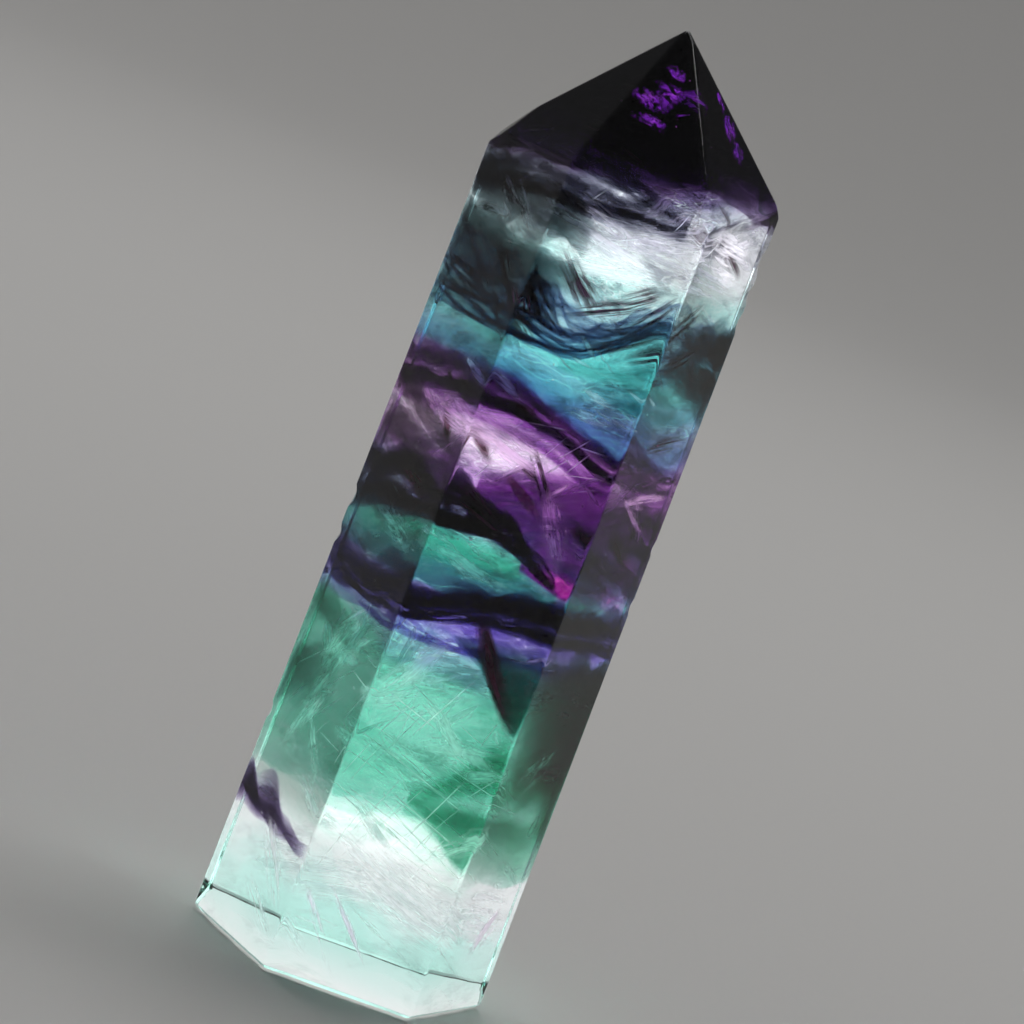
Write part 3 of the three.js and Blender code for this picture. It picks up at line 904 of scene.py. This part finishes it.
# Each box stands at its azimuth and elevation and looks back at the aim.
def makeLights():
    world = bpy.data.worlds.new("studio")
    scene.world = world
    world.use_nodes = True
    world.node_tree.nodes["Background"].inputs["Color"].default_value = (*light["world"], 1.0)
    for name, azimuth, elevation, distance, size, radiance in light["boxes"]:
        a, e = math.radians(azimuth), math.radians(elevation)
        lamp = bpy.data.lights.new(name, "AREA")
        lamp.size = size
        lamp.energy = radiance * size * size * math.pi
        box = bpy.data.objects.new(name, lamp)
        scene.collection.objects.link(box)
        away = Vector((math.cos(a) * math.cos(e), math.sin(a) * math.cos(e), math.sin(e)))
        box.location = away * distance + Vector((0, 0, light["aim"]))
        box.rotation_euler = away.to_track_quat("Z", "Y").to_euler()
        box.visible_camera = False
    print("lights:", len(light["boxes"]))


# A glowing tent round the stone, in metres, that only shows through the stone. It is brighter above and in
# front, and its wall glows in panels, one square to each side of the stone.
glow = {
    "radius": 0.045, "top": 0.2, "base": 0.00005, "columns": 72,
    "low": 1.3, "high": 5.0, "between": (0.075, 0.1),  # strengths, and the heights between which they change
    "front": 2.6, "frontDepth": 0.02,
    "floor": 0.9, "floorEdge": 0.004,
    "panels": 6, "panelDeg": 93.4, "panelDim": 0.38,
}


# The profile runs out over the floor and up the wall. The glow is the strength at its height, times a cosine
# wave round the axis for the panels, times the front's share.
def makeTent():
    r, base = glow["radius"], glow["base"]
    radius = np.array([1e-6, 0.5 * r, r, r, r, r])
    height = np.array([base, base, base, *glow["between"], glow["top"]])
    mesh = turnedSurface("tent", radius, height, glow["columns"])
    material, tree = newMaterial("tent_glow")
    place = addNode(tree, "ShaderNodeTexCoord").outputs["Object"]
    apart = addNode(tree, "ShaderNodeSeparateXYZ", {"Vector": place})
    turn = mathNode(tree, "ARCTAN2", apart.outputs["Y"], apart.outputs["X"])
    count = glow["panels"]
    phase = mathNode(tree, "MULTIPLY_ADD", turn, float(count), -count * math.radians(glow["panelDeg"]))
    panel = mapRange(tree, mathNode(tree, "COSINE", phase), -1.0, 1.0, glow["panelDim"], 1.0)
    strength = mapRange(tree, apart.outputs["Z"], *glow["between"], glow["low"], glow["high"])
    strength = mathNode(tree, "MULTIPLY", strength, panel)
    front = mapRange(tree, apart.outputs["Y"], -glow["frontDepth"], glow["frontDepth"], glow["front"], 1.0)
    strength = mathNode(tree, "MULTIPLY", strength, front)
    wall = mapRange(tree, apart.outputs["Z"], 0.0, glow["floorEdge"])
    strength = addNode(tree, "ShaderNodeMix", {0: wall, 2: glow["floor"], 3: strength}).outputs[0]
    shine = addNode(tree, "ShaderNodeEmission", {"Strength": strength})
    addNode(tree, "ShaderNodeOutputMaterial", {"Surface": shine.outputs[0]})
    material.cycles.emission_sampling = "NONE"
    tent = addObject("tent", mesh, material)
    tent.visible_camera = False
    tent.visible_diffuse = False
    tent.visible_glossy = False
    tent.visible_shadow = False
    print("tent done")


# The camera: its place in degrees and metres, rolled so that the stone leans as it is held.
view = {
    "azimuth": -1.66, "elevation": 8.54, "roll": 20.98,
    "distance": 0.4003, "lens": 150.2, "aside": 0.00042, "height": 0.0461,
    "sensor": 36.0, "near": 0.01,
}


# The camera stands back from its aim, and its right and up are turned by the roll.
def makeCamera():
    a, e, roll = (math.radians(view[key]) for key in ("azimuth", "elevation", "roll"))
    back = Vector((math.sin(a) * math.cos(e), -math.cos(a) * math.cos(e), math.sin(e)))
    right = Vector((math.cos(a), math.sin(a), 0))
    up = back.cross(right)
    leanRight = right * math.cos(roll) + up * math.sin(roll)
    leanUp = up * math.cos(roll) - right * math.sin(roll)
    lens = bpy.data.cameras.new("camera")
    lens.lens = view["lens"]
    lens.sensor_width = view["sensor"]
    lens.clip_start = view["near"]
    camera = bpy.data.objects.new("camera", lens)
    scene.collection.objects.link(camera)
    spot = right * view["aside"] + Vector((0, 0, view["height"])) + back * view["distance"]
    camera.matrix_world = Matrix.Translation(spot) @ Matrix((leanRight, leanUp, back)).transposed().to_4x4()
    scene.camera = camera
    print("camera:", view["lens"], "mm")


# Light paths: enough to cross the many faces inside the stone.
paths = {
    "max_bounces": 10,
    "glossy_bounces": 6,
    "transmission_bounces": 10,
    "transparent_max_bounces": 64,
    "diffuse_bounces": 2,
    "adaptive_threshold": 0.08,
    "adaptive_min_samples": 8,
}


# Each value goes to the setting of its name, and colours are shown as they are.
def setPaths():
    for key, value in paths.items():
        setattr(scene.cycles, key, value)
    scene.view_settings.view_transform = "Standard"
    print("paths:", paths["max_bounces"])


makeStone()
makeZones()
makeSheets()
makeFloor()
makeLights()
makeTent()
makeCamera()
setPaths()
